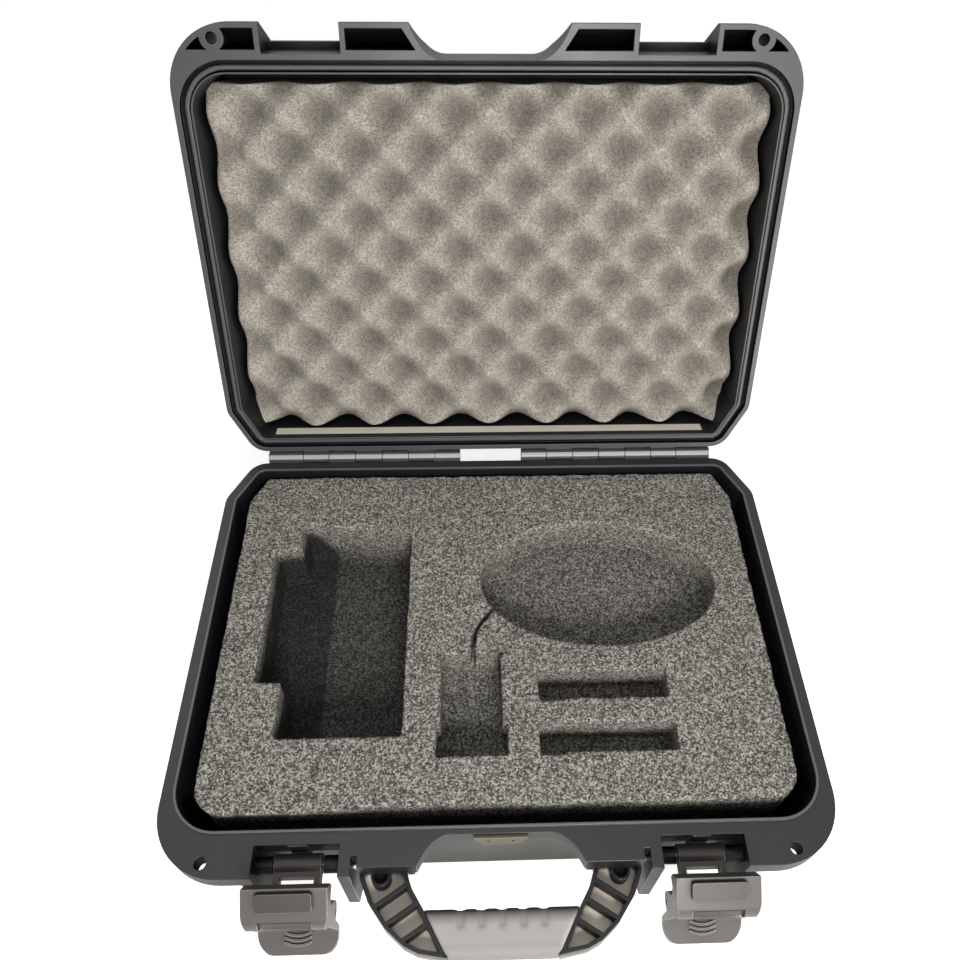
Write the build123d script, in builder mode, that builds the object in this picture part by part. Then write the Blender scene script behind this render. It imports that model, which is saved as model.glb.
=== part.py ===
from build123d import *
import math
import os

# Small hard carrying case, open, with two draw latches, a carrying handle and cut foam.
# The origin is the centre of the underside. +Z is up and +Y points at the hinge.
# Lengths are in millimetres. The lid stands open, the latches hang open, the handle is out.

os.makedirs("parts", exist_ok=True)

# Small hidden rounds are drawn with this many flats
round_sides = 16

# Overall case
case_width = 363.0
case_depth = 282.0
base_height = 77.0
lid_height = 42.0
lid_open_angle = 109.6

# Hinge
barrel_radius = 4.5
hinge_pin_radius = 1.5
pin_clearance = 0.05
knuckle_gap = 0.4
knuckle_edges = (21.6, 39.7, 58.4, 77.0, 96.0, 114.6, 132.7, 157.0)
rear_setback = 5.2

# Shell walls and rim
rim_band = 12.0
rim_width = 7.5
flange_depth = 16.0
wall_draft = 4.0
side_band_step = 4.0
floor_thickness = 5.0
lid_top_thickness = 3.0
bottom_chamfer = 5.0
lid_chamfer = 6.0
lid_rim_width = 10.5
front_corner_radius = 37.0
tub_corner_radius = 32.0
rear_corner_radius = 14.0
rear_chamfer_x = 15.5
rear_chamfer_y = 31.0

# Seal
ridge_height = 1.0
ridge_width = 1.4
ridge_inset = 6.0
seal_groove_inset = 3.2
seal_groove_width = 6.3
seal_groove_depth = 4.0
gasket_inset = 5.6
gasket_width = 3.3
seal_gap = 0.3

# Front flange
handle_cut_half = 45.8
handle_cut_back_half = 30.0
handle_cut_depth = 19.0
latch_x = 106.0
recess_half = 22.2
lock_hole_from_side = 27.2
lock_hole_setback = 8.0
lock_hole_radius = 3.2
relief_slot_from_latch = 30.0
relief_slot_width = 3.3
relief_slot_length = 10.0
cheek_width = 6.0
cheek_drop = 62.0
skirt_height = 36.0
skirt_lip = 4.0
skirt_top_setback = 13.5
skirt_wall = 3.0

# Handle
handle_pin_radius = 2.2
handle_pivot_setback = 10.0
handle_thickness = 12.5
flange_to_handle = 1.0
handle_step = 4.0
handle_rib = 2.0
handle_web = 3.5
handle_end_half = 74.5
handle_inner_half = 49.5
arm_outer_edge = ((73.7, -1.5), (69.0, 9.0), (59.7, 21.3), (50.0, 29.5), (42.5, 33.0))
arm_inner_edge = ((46.4, 3.5),)
arm_ribs = ((58.5, 7.0), (52.6, 15.5), (44.6, 23.5))
arm_rib_turn = -32.0
handle_rear_length = 3.5
handle_rear_round = 2.5
handle_rear_gap = 0.2
grip_gap = 13.0
grip_depth = 22.5
grip_inner_half = 40.5
grip_outer_half = 28.0
grip_skin = 1.5
grip_round = 4.5
grip_core_depth = 13.0
grip_core_height = 8.0
flute_pitch = 10.7
flute_width = 4.4
flute_reach = 9.5
boss_ring_radius = 5.0
boss_ring_bore = 3.6
boss_ring_x = 63.0
boss_ring_out = 7.0
boss_ring_depth = 3.0
ear_radius = 5.0
ear_width = 3.2

# Draw latches
link_pivot_setback = 9.5
link_pivot_drop = 13.0
link_length = 22.5
link_width = 24.6
link_arm = 3.3
link_barrel_radius = 5.5
link_boss_radius = 4.5
link_boss_gap = 1.0
link_tip_radius = 4.2
latch_pin_radius = 1.6
latch_half_width = 21.0
latch_cheek = 3.2
latch_play = 0.3
latch_boss_radius = 5.0
plate_inner = 6.0
plate_foot = 2.6
hook_height = 19.2
hook_inner = -3.9
bevel_top = (-3.5, 32.0)
bevel_low = (8.5, 22.4)
roll_radius = 7.5
roll_flat = (26.0, 9.4)
lever_root = (5.2, -18.0)
lever_tip = (14.8, -26.0)
lever_thickness = 2.2
lever_corner = 9.0
finger_count = 3
finger_pitch = 2.6
finger_width = 1.3
finger_height = 0.8
finger_arc = (14.0, 56.0)
link_window = 10.5
catch_reach = 4.5
catch_height = 24.0
catch_thickness = 4.0
slide_length = 27.5
slide_width = 9.0
slide_edge = 1.5
slide_thickness = 2.4
slide_stem_length = 14.0
slide_stem_width = 3.6
slide_stem_depth = 4.7
slide_stem_shift = 1.3
slide_travel = 5.0
slide_play = 0.2

# Foams
foam_side_gap = 7.5
foam_front_gap = 9.5
foam_rear_gap = 2.3
foam_below_rim = 5.0
pad_thickness = 12.0
pad_gap = 1.0
pad_corner = 23.0
lid_foam_base = 11.0
lid_foam_recess = 10.0
lid_foam_side_gap = 7.5
lid_foam_front_gap = 8.5
lid_foam_rear_gap = 7.8
lid_foam_corner = 8.0
bump_pitch_x = 41.0
bump_pitch_y = 21.0
bump_foot = 28.0
bump_slope = 26.0

# Pockets of the base foam, seen from above: edges as left, right, front, rear
main_pocket_corners = ((-128.0, -66.3), (-55.0, -66.3), (-54.2, 74.0), (-126.7, 81.8))
main_pocket_step = (-143.5, -120.0, -32.5, 62.0)
main_pocket_depth = 41.0
middle_pocket = (-33.0, 3.0, -78.9, -15.8)
middle_pocket_front = (-35.3, 5.8, -78.9, -59.3)
middle_pocket_depth = 28.0
relief_cut = 4.0
oval_centre = (67.3, 34.2)
oval_half_length = 75.9
oval_half_width = 45.9
oval_turn = -1.5
upper_slot = (25.0, 102.0, -45.9, -27.9)
upper_slot_bulge = (24.5, 37.9, -46.9, -27.5)
lower_slot = (24.5, 103.0, -77.5, -60.3)
lower_slot_bulge = (24.0, 39.2, -79.0, -59.8)
shallow_pocket_depth = 25.0
cable_channel = ((3.0, 20.0), (-6.7, 8.0), (-11.8, -0.3), (-13.7, -10.5), (-13.8, -17.0))
cable_channel_width = 3.0
cable_channel_depth = 20.0

# Pressure vent on the front wall
vent_width_top = 29.0
vent_width_low = 20.0
vent_height = 11.0
vent_thickness = 1.8
vent_hole_radius = 1.1
vent_hole_x = 6.5
vent_spigot = 3.0
vent_bore_radius = 3.5

# Places worked out from the driving sizes
half_width = case_width / 2
lock_hole_x = half_width - lock_hole_from_side
relief_slot_x = latch_x - relief_slot_from_latch
front_y = -case_depth / 2
hinge_y = case_depth / 2 - barrel_radius
rim_z = base_height
rear_y = hinge_y - rear_setback
tub_front_y = front_y + flange_depth
hinge_axis = Axis((0, hinge_y, rim_z), (1, 0, 0))
lock_hole_y = front_y + lock_hole_setback
handle_pivot_y = front_y + handle_pivot_setback
handle_top_z = rim_z - rim_band - flange_to_handle
handle_pivot_z = handle_top_z - handle_thickness / 2
link_pivot_y = front_y + link_pivot_setback
link_pivot_z = rim_z - link_pivot_drop
body_pivot_y = link_pivot_y - link_length
body_pivot_z = link_pivot_z
link_boss_length = recess_half - link_width / 2 - link_boss_gap
link_pin_length = 2 * recess_half + 4
ear_outer = handle_inner_half - 0.7
handle_pin_start = ear_outer - ear_width + 0.3
handle_pin_end = latch_x - recess_half - 0.6
handle_pin_x = (handle_pin_start + handle_pin_end) / 2
handle_pin_length = handle_pin_end - handle_pin_start
vent_z = rim_z - 7.5
handle_rear_y = handle_pivot_y + handle_rear_length
boss_ring_y = handle_pivot_y - boss_ring_out
grip_inner_y = front_y - grip_gap
grip_outer_y = grip_inner_y - grip_depth
pad_top_z = floor_thickness + pad_thickness
foam_top_z = rim_z - foam_below_rim
lid_ceiling_z = rim_z + lid_height - lid_top_thickness
bump_height = lid_height - lid_top_thickness - lid_foam_base - lid_foam_recess
vent_face_y = front_y + handle_cut_depth


def outline(front, front_radius, inset=0.0, rear=rear_y):
    """Plan of the case between two edges, drawn in by the inset all round."""
    with BuildSketch() as plan:
        with BuildLine():
            Polyline(
                (-half_width, front),
                (half_width, front),
                (half_width, rear - rear_chamfer_y),
                (half_width - rear_chamfer_x, rear),
                (-half_width + rear_chamfer_x, rear),
                (-half_width, rear - rear_chamfer_y),
                close=True,
            )
        make_face()
        rows = plan.vertices().group_by(Axis.Y)
        fillet(rows[0], front_radius)
        rows = plan.vertices().group_by(Axis.Y)
        fillet(rows[-2] + rows[-1], rear_corner_radius)
        if inset:
            offset(amount=-inset, mode=Mode.REPLACE)
    return plan.sketch


def handle_cutout():
    """The opening in both front flanges where the fingers go round the handle."""
    with BuildSketch() as cut:
        with BuildLine():
            back = front_y + handle_cut_depth
            edge = front_y - 1
            Line((-handle_cut_half, edge), (handle_cut_half, edge))
            Spline(
                (handle_cut_half, edge),
                (handle_cut_half - 2.5, front_y + 5),
                (handle_cut_back_half + 4, back - 2.5),
                (handle_cut_back_half - 4, back),
            )
            Line((handle_cut_back_half - 4, back), (-handle_cut_back_half + 4, back))
            Spline(
                (-handle_cut_back_half + 4, back),
                (-handle_cut_back_half - 4, back - 2.5),
                (-handle_cut_half + 2.5, front_y + 5),
                (-handle_cut_half, edge),
            )
        make_face()
    return cut.sketch


case_outline = outline(front_y, front_corner_radius)
cut_outline = handle_cutout()


def tub_inset(inset):
    """Plan of the tub drawn in from its outer edge."""
    return outline(tub_front_y, tub_corner_radius, inset)


# Knuckle spans: the base has the outermost one on each side, then they alternate
base_knuckles = [knuckle_edges[i : i + 2] for i in (0, 2, 4, 6)]
lid_knuckles = [knuckle_edges[i : i + 2] for i in (1, 3, 5)]


def knuckle_profile(direction):
    """Barrel with the web that carries it, below (-1) or above (+1) the rim plane."""
    with BuildSketch(Plane.YZ) as profile:
        with Locations((hinge_y, rim_z)):
            RegularPolygon(barrel_radius, round_sides)
        with BuildLine():
            Polyline(
                (rear_y - 7, rim_z),
                (hinge_y, rim_z),
                (hinge_y + barrel_radius * 0.94, rim_z + direction * barrel_radius * 0.34),
                (rear_y - 7, rim_z + direction * 24),
                close=True,
            )
        make_face()
    return profile.sketch


base_knuckle_profile = knuckle_profile(-1)
lid_knuckle_profile = knuckle_profile(1)


def cheek_profile():
    """Side of the cheeks beside the latches, from the flange nearly to the underside."""
    with BuildSketch(Plane.YZ) as profile:
        with BuildLine():
            Polyline(
                (tub_front_y + 12, rim_z - 1),
                (front_y, rim_z - 1),
                (front_y, rim_z - cheek_drop + 8),
                (front_y + 8, rim_z - cheek_drop),
                (tub_front_y + 12, rim_z - cheek_drop),
                close=True,
            )
        make_face()
        fillet(profile.vertices().group_by(Axis.Y)[0].sort_by(Axis.Z)[0], 6)
    return profile.sketch


def ear_profile():
    """Side of the inner ears that carry the handle pins, hung under the flange."""
    with BuildSketch(Plane.YZ) as profile:
        with Locations((handle_pivot_y, handle_pivot_z)):
            RegularPolygon(ear_radius, round_sides)
        with Locations((handle_pivot_y, (handle_pivot_z + rim_z - 2) / 2)):
            Rectangle(2 * ear_radius, rim_z - 2 - handle_pivot_z)
    return profile.sketch


def disc_profile(y, z, radius):
    """Round profile on the side plane, for bosses that run along X."""
    with BuildSketch(Plane.YZ) as profile:
        with Locations((y, z)):
            RegularPolygon(radius, round_sides)
    return profile.sketch


cheek = cheek_profile()
ear = ear_profile()
link_boss = disc_profile(link_pivot_y, link_pivot_z, link_boss_radius)


def box_between(x_start, x_end, y_start, y_end):
    """Rectangle given by its edges."""
    with Locations(((x_start + x_end) / 2, (y_start + y_end) / 2)):
        Rectangle(x_end - x_start, y_end - y_start)


# Base shell
with BuildPart() as base_shell:
    with BuildSketch(Plane.XY.offset(rim_z)):
        add(case_outline)
    extrude(amount=-rim_band)
    with BuildSketch(Plane.XY.offset(rim_z - rim_band)):
        add(tub_inset(side_band_step))
    extrude(amount=rim_band - rim_z, taper=wall_draft)
    chamfer(base_shell.faces().sort_by(Axis.Z)[0].edges(), bottom_chamfer)
    # Cheeks beside the latches and ears for the handle
    for side in (-1, 1):
        for edge in (-recess_half - cheek_width, recess_half):
            extrude(cheek.moved(Location((side * latch_x + edge, 0, 0))), cheek_width)
    for start in (-ear_outer, ear_outer - ear_width):
        extrude(ear.moved(Location((start, 0, 0))), ear_width)
    # Cavity, opening out towards the rim
    with BuildSketch(Plane.XY.offset(rim_z)):
        add(tub_inset(rim_width))
    extrude(amount=floor_thickness - rim_z, taper=wall_draft, mode=Mode.SUBTRACT)
    # Handle cut-out, latch recesses and relief slots through the flange
    with BuildSketch(Plane.XY.offset(rim_z + 1)):
        add(cut_outline)
        for side in (-1, 1):
            with Locations((side * latch_x, front_y + flange_depth / 2 - 1)):
                Rectangle(2 * recess_half, flange_depth + 2)
            with Locations((side * relief_slot_x, front_y + relief_slot_length / 2 - 1)):
                Rectangle(relief_slot_width, relief_slot_length + 2)
        # The flange stands back above the handle
        box_between(-relief_slot_x, relief_slot_x, front_y - 1, front_y + handle_step)
    extrude(amount=-rim_band - 2, mode=Mode.SUBTRACT)
    # Latch pin bosses on the recess walls
    for side in (-1, 1):
        for start in (-recess_half - 1, link_width / 2 + link_boss_gap):
            near = side * latch_x + start
            extrude(link_boss.moved(Location((near, 0, 0))), link_boss_length + 1)
    # Small centring rib on the back wall of each recess
    with BuildSketch(Plane.XY.offset(rim_z - 1)):
        for side in (-1, 1):
            with Locations((side * latch_x, tub_front_y + 1.9)):
                RectangleRounded(10.5, 5, 1.5)
    extrude(amount=-18)
    # Hinge knuckles
    for side in (-1, 1):
        for near, far in base_knuckles:
            start = min(side * near, side * far) + knuckle_gap / 2
            extrude(base_knuckle_profile.moved(Location((start, 0, 0))), far - near - knuckle_gap)
    # Sealing ridge
    with BuildSketch(Plane.XY.offset(rim_z)):
        add(tub_inset(ridge_inset))
        add(tub_inset(ridge_inset + ridge_width), mode=Mode.SUBTRACT)
    extrude(amount=ridge_height)
    # Bores for the pins
    with Locations(Location((0, hinge_y, rim_z), (0, 90, 0))):
        Cylinder(hinge_pin_radius + pin_clearance, case_width, mode=Mode.SUBTRACT)
    for side in (-1, 1):
        with Locations(Location((side * handle_pin_x, handle_pivot_y, handle_pivot_z), (0, 90, 0))):
            Cylinder(handle_pin_radius + pin_clearance, handle_pin_length, mode=Mode.SUBTRACT)
        with Locations(Location((side * latch_x, link_pivot_y, link_pivot_z), (0, 90, 0))):
            Cylinder(latch_pin_radius + pin_clearance, link_pin_length, mode=Mode.SUBTRACT)
    # Padlock holes through the flange corners
    with Locations(*[(s * lock_hole_x, lock_hole_y, rim_z) for s in (-1, 1)]):
        Cylinder(lock_hole_radius, 60, mode=Mode.SUBTRACT)
    # Bore for the pressure vent through the front wall
    with Locations(Location((0, tub_front_y + flange_depth / 2, vent_z), (90, 0, 0))):
        Cylinder(vent_bore_radius, flange_depth, mode=Mode.SUBTRACT)
base_shell.part.label = "base_shell"
export_step(base_shell.part, "parts/base_shell.step")

# Lid shell, made closed on the base and then swung open about the hinge
with BuildSketch() as mid_pocket:
    with BuildLine():
        Polyline(
            (latch_x - recess_half - skirt_wall, front_y + skirt_wall),
            (handle_cut_half + 3.5, front_y + skirt_wall),
            (handle_cut_back_half + 12, tub_front_y - 2),
            (latch_x - recess_half - skirt_wall, tub_front_y - 2),
            close=True,
        )
    make_face()
with BuildSketch() as corner_pocket:
    with BuildLine():
        Polyline(
            (latch_x + recess_half + skirt_wall, front_y + skirt_wall),
            (half_width, front_y + skirt_wall),
            (half_width, tub_front_y - 2),
            (latch_x + recess_half + skirt_wall, tub_front_y - 2),
            close=True,
        )
    make_face()
    add(offset(case_outline, amount=-skirt_wall, mode=Mode.PRIVATE), mode=Mode.INTERSECT)
    with Locations((lock_hole_x, lock_hole_y)):
        Circle(lock_hole_radius + 3.6, mode=Mode.SUBTRACT)
    with Locations((lock_hole_x, lock_hole_y + 5)):
        Rectangle(2.4, 10, mode=Mode.SUBTRACT)
    with Locations((lock_hole_x, lock_hole_y - 5)):
        Rectangle(2.4, 10, mode=Mode.SUBTRACT)


def slope_wedge(shift):
    """Everything in front of the sloping face of the lid's skirt, moved out by the shift."""
    with BuildSketch(Plane.YZ) as profile:
        with BuildLine():
            Polyline(
                (front_y - 2 + shift, rim_z + skirt_lip),
                (front_y + shift, rim_z + skirt_lip),
                (front_y + skirt_top_setback + shift, rim_z + skirt_height),
                (front_y + skirt_top_setback + shift, rim_z + lid_height + 5),
                (front_y - 2 + shift, rim_z + lid_height + 5),
                close=True,
            )
        make_face()
    return extrude(profile.sketch, case_width, both=True, mode=Mode.PRIVATE)


with BuildPart() as skirt_pockets:
    with BuildSketch(Plane.XY.offset(rim_z - 1)):
        add(mid_pocket.sketch)
        add(corner_pocket.sketch)
        add(mirror(mid_pocket.sketch, about=Plane.YZ, mode=Mode.PRIVATE))
        add(mirror(corner_pocket.sketch, about=Plane.YZ, mode=Mode.PRIVATE))
    extrude(amount=skirt_height - skirt_wall + 1)
    add(slope_wedge(skirt_wall), mode=Mode.SUBTRACT)

with BuildPart() as closed_lid:
    with BuildSketch(Plane.XY.offset(rim_z)):
        add(case_outline)
    extrude(amount=rim_band)
    with BuildSketch(Plane.XY.offset(rim_z + rim_band)):
        add(tub_inset(side_band_step))
    extrude(amount=lid_height - rim_band, taper=wall_draft)
    chamfer(closed_lid.faces().sort_by(Axis.Z)[-1].edges(), lid_chamfer)
    # Sloping skirt along the front
    with BuildSketch(Plane.XY.offset(rim_z)):
        add(case_outline)
        with Locations((0, tub_front_y + 6)):
            Rectangle(case_width, case_depth, align=(Align.CENTER, Align.MIN), mode=Mode.SUBTRACT)
    extrude(amount=skirt_height)
    add(slope_wedge(0), mode=Mode.SUBTRACT)
    add(skirt_pockets.part, mode=Mode.SUBTRACT)
    # Cavity, opening out towards the rim
    with BuildSketch(Plane.XY.offset(rim_z)):
        add(tub_inset(lid_rim_width))
    extrude(amount=lid_height - lid_top_thickness, taper=wall_draft, mode=Mode.SUBTRACT)
    # Handle cut-out and latch notches
    with BuildSketch(Plane.XY.offset(rim_z - 1)):
        add(cut_outline)
        for side in (-1, 1):
            with Locations((side * latch_x, front_y + flange_depth / 2 - 1)):
                Rectangle(2 * recess_half, flange_depth + 2)
    extrude(amount=lid_height + 2, mode=Mode.SUBTRACT)
    # Catches that the latch claws hold
    with BuildSketch(Plane.XY.offset(rim_z + catch_height)):
        for side in (-1, 1):
            with Locations((side * latch_x, tub_front_y + 3)):
                Rectangle(2 * recess_half + 1, 2 * (catch_reach + 3))
    extrude(amount=catch_thickness)
    with BuildSketch(Plane.XY.offset(rim_z)):
        add(tub_inset(lid_rim_width))
    extrude(amount=lid_height - lid_top_thickness, taper=wall_draft, mode=Mode.SUBTRACT)
    # Hinge knuckles
    for side in (-1, 1):
        for near, far in lid_knuckles:
            start = min(side * near, side * far) + knuckle_gap / 2
            extrude(lid_knuckle_profile.moved(Location((start, 0, 0))), far - near - knuckle_gap)
    # Groove that holds the seal
    with BuildSketch(Plane.XY.offset(rim_z)):
        add(tub_inset(seal_groove_inset))
        add(tub_inset(seal_groove_inset + seal_groove_width), mode=Mode.SUBTRACT)
    extrude(amount=seal_groove_depth, mode=Mode.SUBTRACT)
    with Locations(Location((0, hinge_y, rim_z), (0, 90, 0))):
        Cylinder(hinge_pin_radius + pin_clearance, case_width, mode=Mode.SUBTRACT)
    # Padlock holes
    with Locations(*[(s * lock_hole_x, lock_hole_y, rim_z) for s in (-1, 1)]):
        Cylinder(lock_hole_radius, 100, mode=Mode.SUBTRACT)

with BuildPart() as lid_shell:
    add(closed_lid.part.rotate(hinge_axis, -lid_open_angle))
lid_shell.part.label = "lid_shell"
export_step(lid_shell.part, "parts/lid_shell.step")

# Seal in the lid's groove
with BuildPart() as closed_gasket:
    with BuildSketch(Plane.XY.offset(rim_z + seal_groove_depth)):
        add(tub_inset(gasket_inset))
        add(tub_inset(gasket_inset + gasket_width), mode=Mode.SUBTRACT)
    extrude(amount=ridge_height + seal_gap - seal_groove_depth)
with BuildPart() as gasket:
    add(closed_gasket.part.rotate(hinge_axis, -lid_open_angle))
gasket.part.label = "gasket"
export_step(gasket.part, "parts/gasket.step")

# Hinge pins, one each side of the gap in the middle
for side, name in ((-1, "left"), (1, "right")):
    with BuildPart() as hinge_pin:
        length = knuckle_edges[-1] - knuckle_edges[0] - 1
        middle = side * (knuckle_edges[-1] + knuckle_edges[0]) / 2
        with Locations(Location((middle, hinge_y, rim_z), (0, 90, 0))):
            Cylinder(hinge_pin_radius, length)
    hinge_pin.part.label = "hinge_pin_" + name
    export_step(hinge_pin.part, "parts/hinge_pin_" + name + ".step")


def wall_inset(z):
    """How far the cavity wall of the base stands inside the tub outline at a height."""
    return rim_width + (rim_z - z) * math.tan(math.radians(wall_draft))


# Plain foam pad on the floor of the base
pad_inset = wall_inset(floor_thickness) + pad_gap
with BuildPart() as base_pad:
    with BuildSketch(Plane.XY.offset(floor_thickness)):
        with Locations((0, (tub_front_y + rear_y) / 2)):
            Rectangle(case_width - 2 * pad_inset, rear_y - tub_front_y - 2 * pad_inset)
        chamfer(vertices(), pad_corner)
    extrude(amount=pad_thickness)
base_pad.part.label = "base_pad"
export_step(base_pad.part, "parts/base_pad.step")


# Thick base foam with the pockets for the equipment
with BuildPart() as base_foam:
    with BuildSketch(Plane.XY.offset(foam_top_z)):
        add(
            outline(
                tub_front_y - foam_side_gap + foam_front_gap,
                tub_corner_radius,
                rim_width + foam_side_gap,
                rear_y + foam_side_gap - foam_rear_gap,
            )
        )
    extrude(amount=pad_top_z - foam_top_z, taper=wall_draft)
    # Large pocket with a step in its left side
    with BuildSketch(Plane.XY.offset(foam_top_z)):
        with BuildLine():
            Polyline(*main_pocket_corners, close=True)
        make_face()
        box_between(*main_pocket_step)
    extrude(amount=-main_pocket_depth, mode=Mode.SUBTRACT)
    # Middle pocket, wider at the front, with little relief cuts at its rear corners
    with BuildSketch(Plane.XY.offset(foam_top_z)):
        box_between(*middle_pocket)
        box_between(*middle_pocket_front)
        for corner_x in middle_pocket[:2]:
            with Locations((corner_x, middle_pocket[3])):
                Rectangle(relief_cut, relief_cut)
    extrude(amount=-middle_pocket_depth, mode=Mode.SUBTRACT)
    # Oval pocket
    with BuildSketch(Plane.XY.offset(foam_top_z)):
        with Locations(Location(oval_centre, oval_turn)):
            Ellipse(oval_half_length, oval_half_width)
    extrude(amount=-shallow_pocket_depth, mode=Mode.SUBTRACT)
    # Two slots with a bulge at the left end
    with BuildSketch(Plane.XY.offset(foam_top_z)):
        for slot in (upper_slot, upper_slot_bulge, lower_slot, lower_slot_bulge):
            box_between(*slot)
    extrude(amount=-shallow_pocket_depth, mode=Mode.SUBTRACT)
    # Narrow cable channel from the oval pocket to the middle one
    with BuildSketch(Plane.XY.offset(foam_top_z)):
        with BuildLine() as channel:
            Spline(*cable_channel)
        trace(channel.line, line_width=cable_channel_width)
    extrude(amount=-cable_channel_depth, mode=Mode.SUBTRACT)
base_foam.part.label = "base_foam"
export_step(base_foam.part, "parts/base_foam.step")

# Egg-crate foam in the lid: a sheet with staggered bumps
lid_foam_half = half_width - lid_rim_width - lid_foam_side_gap
lid_foam_front = tub_front_y + lid_rim_width + lid_foam_front_gap
lid_foam_rear = rear_y - lid_rim_width - lid_foam_rear_gap
bump_rows = int((lid_foam_rear - lid_foam_front) / bump_pitch_y)
bump_columns = int((2 * lid_foam_half - bump_foot * math.sqrt(2)) / bump_pitch_x) + 1
with BuildPart() as closed_lid_foam:
    with BuildSketch(Plane.XY.offset(lid_ceiling_z)):
        box_between(-lid_foam_half, lid_foam_half, lid_foam_front, lid_foam_rear)
        chamfer(vertices(), lid_foam_corner)
    extrude(amount=-lid_foam_base)
    with BuildSketch(Plane.XY.offset(lid_ceiling_z - lid_foam_base)):
        for row in range(bump_rows):
            count = bump_columns - 1 + row % 2
            for column in range(count):
                x = (column - (count - 1) / 2) * bump_pitch_x
                y = (lid_foam_front + lid_foam_rear) / 2 + (row - (bump_rows - 1) / 2) * bump_pitch_y
                with Locations((x, y)):
                    Rectangle(bump_foot, bump_foot, rotation=45)
    extrude(amount=-bump_height, taper=bump_slope)
    # The sheet is sliced straight through the bumps that reach past its edges
    with BuildSketch(Plane.XY.offset(lid_ceiling_z)):
        box_between(-lid_foam_half, lid_foam_half, lid_foam_front, lid_foam_rear)
        chamfer(vertices(), lid_foam_corner)
    extrude(amount=-lid_foam_base - bump_height, mode=Mode.INTERSECT)
with BuildPart() as lid_foam:
    add(closed_lid_foam.part.rotate(hinge_axis, -lid_open_angle))
lid_foam.part.label = "lid_foam"
export_step(lid_foam.part, "parts/lid_foam.step")

# Cover over the pressure vent, with its spigot in the bore of the front wall
with BuildPart() as vent_cover:
    with BuildSketch(Plane.XZ.offset(-vent_face_y)):
        with BuildLine():
            Polyline(
                (-vent_width_top / 2, vent_z + vent_height / 2),
                (vent_width_top / 2, vent_z + vent_height / 2),
                (vent_width_low / 2, vent_z - vent_height / 2),
                (-vent_width_low / 2, vent_z - vent_height / 2),
                close=True,
            )
        make_face()
        fillet(vertices().group_by(Axis.Y)[0], 3)
    extrude(amount=vent_thickness)
    with Locations(Location((0, vent_face_y + vent_spigot / 2, vent_z), (90, 0, 0))):
        Cylinder(vent_bore_radius - pin_clearance, vent_spigot)
    with Locations(*[Location((s * vent_hole_x, vent_face_y, vent_z), (90, 0, 0)) for s in (-1, 1)]):
        Cylinder(vent_hole_radius, 3 * vent_thickness, mode=Mode.SUBTRACT)
vent_cover.part.label = "vent_cover"
export_step(vent_cover.part, "parts/vent_cover.step")


def arm_plan():
    """Plan of the right arm of the handle, from its pivot end to the grip."""
    with BuildSketch() as plan:
        with BuildLine():
            Polyline(
                (handle_inner_half, handle_rear_y),
                (handle_end_half, handle_rear_y),
                (handle_end_half, handle_rear_y - 7),
                *[(x, front_y - out) for x, out in arm_outer_edge],
                (grip_outer_half, grip_outer_y),
                (grip_inner_half, grip_inner_y),
                *[(x, front_y - out) for x, out in arm_inner_edge],
                (handle_inner_half, handle_pivot_y - 5.1),
                close=True,
            )
        make_face()
    return plan.sketch


def arm_pockets(plan):
    """Hollows of one arm, with cross ribs left between them."""
    with BuildSketch() as hollow:
        add(offset(plan, amount=-handle_rib, kind=Kind.INTERSECTION, mode=Mode.PRIVATE))
        with Locations(*[(x, front_y - out) for x, out in arm_ribs]):
            Rectangle(60, handle_rib, rotation=arm_rib_turn, mode=Mode.SUBTRACT)
        with Locations((boss_ring_x, boss_ring_y)):
            Circle(boss_ring_radius, mode=Mode.SUBTRACT)
    return hollow.sketch


right_arm = arm_plan()
right_hollow = arm_pockets(right_arm)

# Handle frame: two ribbed arms and the core inside the grip
with BuildPart() as handle_frame:
    with BuildSketch(Plane.XY.offset(handle_top_z)):
        add(right_arm)
        add(mirror(right_arm, about=Plane.YZ, mode=Mode.PRIVATE))
    extrude(amount=-handle_thickness)
    fillet(handle_frame.edges().filter_by(Axis.X).group_by(Axis.Y)[-1], handle_rear_round)
    with BuildSketch(Plane.XY.offset(handle_top_z)):
        add(right_hollow)
        add(mirror(right_hollow, about=Plane.YZ, mode=Mode.PRIVATE))
    extrude(amount=handle_web - handle_thickness, mode=Mode.SUBTRACT)
    # Core bar inside the grip
    with Locations((0, (grip_inner_y + grip_outer_y) / 2, handle_pivot_z)):
        Box(2 * grip_outer_half + 10, grip_core_depth, grip_core_height)
    # Barrels round the pins
    for side in (-1, 1):
        barrel_x = side * (handle_inner_half + handle_end_half) / 2
        with Locations(Location((barrel_x, handle_pivot_y, handle_pivot_z), (0, 90, 0))):
            barrel_length = handle_end_half - handle_inner_half
            Cylinder(handle_pin_radius + 2.4 - handle_rear_gap, barrel_length - 0.5)
            Cylinder(handle_pin_radius + pin_clearance, barrel_length + 2, mode=Mode.SUBTRACT)
        with Locations((side * boss_ring_x, boss_ring_y, handle_top_z)):
            Cylinder(boss_ring_bore, 2 * boss_ring_depth, mode=Mode.SUBTRACT)
handle_frame.part.label = "handle_frame"
export_step(handle_frame.part, "parts/handle_frame.step")

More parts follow.
